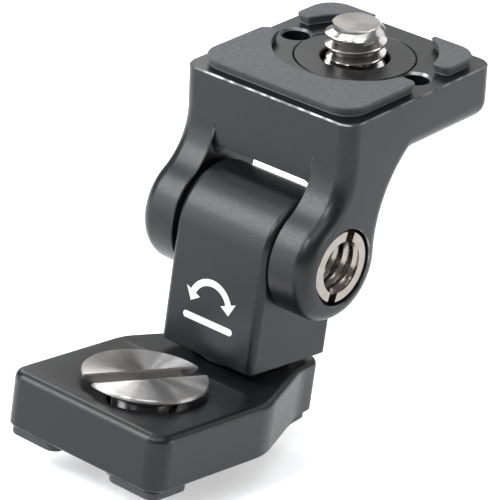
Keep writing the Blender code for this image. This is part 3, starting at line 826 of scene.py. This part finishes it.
def make_top_screw():
    tip, low = TOP + 3.75, 15.0
    groove_top, groove_low, head_top, head_low = 14.0, 13.2, 12.0, 10.4
    shank, head = 3.1, 4.4

    def limit(radius, height):
        below_tip, above_neck = tip - height, height - low
        return min(radius, GROOVE_RADIUS + below_tip * 0.8, GROOVE_RADIUS + above_neck * 2)

    below = [(GROOVE_RADIUS, low), (shank, 14.6), (shank, groove_top), (GROOVE_RADIUS, groove_top)]
    below += [(GROOVE_RADIUS, groove_low), (THREAD_RADIUS, groove_low), (THREAD_RADIUS, head_top)]
    below += [(head, head_top), (head, head_low + 0.2), (head - 0.2, head_low), (0, head_low)]
    rings = circle_rings([(0, tip), (GROOVE_RADIUS, tip)])
    rings += thread_rings(low, tip, limit, THREAD_RADIUS, THREAD_ROOT)[::-1]
    rings += circle_rings(below)
    screw = carve(joined(rings), box((12, 1.2, 1.6), (0, 0, head_low)))
    piece("top_screw_threaded", screw, TOP_SCREW, "top_screw", "top_screw", THREAD_STEEL)


def make_top_disc():
    """The turned disc round the screw, flush with the platform."""
    outer, inner, top, foot = DISC_RADIUS, CLEARANCE_RADIUS, TOP, TOP - DISC_THICKNESS
    profile = [(inner + 0.12, top), (outer - 0.05, top), (outer, top - 0.05), (outer, foot)]
    profile += [(inner, foot), (inner, top - 0.12)]
    disc = turned(profile, steps=128)
    piece("top_disc_turned", disc, TOP_SCREW, "fork", "top_disc", ANODISED_DISC)


make_base_plate()
make_base_pads()
make_base_screw()
make_knuckle()
make_mark()
make_fork()
make_pivots()
make_top_pads()
make_top_screw()
make_top_disc()
SPRING = spring_steel("spring_steel")
NYLON = nylon("nylon")
for node in ("base_screw_clip", "top_screw_ring", "swivel_spring_washer"):
    paint_node(node, SPRING)
for node in ("swivel_washer", "pivot_washer_left", "pivot_washer_right"):
    paint_node(node, NYLON)
paint_node("swivel_screw", turned_steel("stainless_swivel", "Z", 0.22))


# ---------------------------------------------------------------- floor, light and camera


def make_floor():
    """A pale round floor with a slight glow, as white as the photo's background."""
    plain = Surface("floor", Roughness=0.9)
    plain.shader.inputs["Base Color"].default_value = (0.86, 0.86, 0.86, 1)
    plain.shader.inputs["Specular IOR Level"].default_value = 0.1
    plain.shader.inputs["Emission Color"].default_value = (1, 1, 1, 1)
    plain.shader.inputs["Emission Strength"].default_value = FLOOR_GLOW
    mesh = bpy.data.meshes.new("floor")

    def fill(shape):
        bmesh.ops.create_circle(shape, cap_ends=True, radius=FLOOR_RADIUS, segments=64)

    edited(mesh, fill)
    mesh.materials.append(plain.material)
    floor = bpy.data.objects.new("floor", mesh)
    bpy.context.scene.collection.objects.link(floor)
    floor.location.z = (SCREW_TIP - 0.02) * MM


def softbox(name, azimuth, elevation, distance, size, power, colour=(1, 1, 1)):
    """An area light that faces the object. Azimuth 0 is in front of it and 90 to its right."""
    light = bpy.data.lights.new(name, "AREA")
    light.shape = "RECTANGLE"
    light.size, light.size_y = size
    light.energy = power
    light.color = colour
    obj = bpy.data.objects.new(name, light)
    bpy.context.scene.collection.objects.link(obj)
    a, e = math.radians(azimuth), math.radians(elevation)
    out = Vector((math.sin(a) * math.cos(e), -math.cos(a) * math.cos(e), math.sin(e)))
    obj.location = HINGE_AT + out * distance
    obj.rotation_mode = "QUATERNION"
    obj.rotation_quaternion = (-out).to_track_quat("-Z", "Y")


def make_light():
    world = bpy.data.worlds.new("studio")
    world.use_nodes = True
    world.node_tree.nodes["Background"].inputs["Color"].default_value = (1, 1, 1, 1)
    world.node_tree.nodes["Background"].inputs["Strength"].default_value = WORLD
    bpy.context.scene.world = world
    for light in LIGHTS:
        softbox(*light)


def make_camera():
    """The photo's camera, as it was solved from the photo's edges."""
    data = bpy.data.cameras.new("camera")
    data.sensor_width = 36
    data.lens = LENS
    data.clip_start = 0.02
    data.clip_end = 20
    camera = bpy.data.objects.new("camera", data)
    bpy.context.scene.collection.objects.link(camera)
    azimuth, elevation, roll = (math.radians(v) for v in CAMERA_ANGLES)
    out = math.cos(elevation)
    back = Vector((math.sin(azimuth) * out, -math.cos(azimuth) * out, math.sin(elevation)))
    right = Vector((math.cos(azimuth), math.sin(azimuth), 0))
    up = back.cross(right)
    across = math.cos(roll) * right + math.sin(roll) * up
    upward = math.cos(roll) * up - math.sin(roll) * right
    turn = Matrix((across, upward, back)).transposed()
    camera.matrix_world = Matrix.Translation(CAMERA_AT) @ turn.to_4x4()
    bpy.context.scene.camera = camera


CAMERA_AT = (0.18691, -0.22776, 0.13206)
CAMERA_ANGLES = (37.732, 20.427, 8.148)  # azimuth, elevation and roll in degrees
LENS = 233.07  # mm
FLOOR_RADIUS = 3.0  # m
FLOOR_GLOW = 0.42
WORLD = 0.24
COOL = (0.93, 0.965, 1.0)
LIGHTS = [  # name, azimuth, elevation, distance, size, power, colour
    ("key", -40, 35, 0.7, (0.36, 0.36), 4.8, COOL),
    ("key_low", -40, 8, 0.7, (0.36, 0.36), 1.7, COOL),
    ("left_back", -120, 35, 0.7, (0.36, 0.36), 1.5),
    ("right_back_low", 120, 8, 0.7, (0.36, 0.36), 2.0),
    ("back_right", 160, 35, 0.7, (0.36, 0.36), 0.5),
    ("back_left", -160, 35, 0.7, (0.36, 0.36), 0.6),
    ("overhead", 20, 86, 0.7, (0.5, 0.5), 1.1, COOL),
    ("top_left", -60, 62, 0.7, (0.3, 0.3), 1.1, COOL),
    ("front", 5, 42, 0.7, (0.12, 0.12), 1.8, COOL),
    ("front_right", 47, 56, 0.7, (0.34, 0.34), 1.3, COOL),
]
make_floor()
make_light()
make_camera()
scene = bpy.context.scene
scene.view_settings.view_transform = "Standard"
scene.view_settings.look = "None"
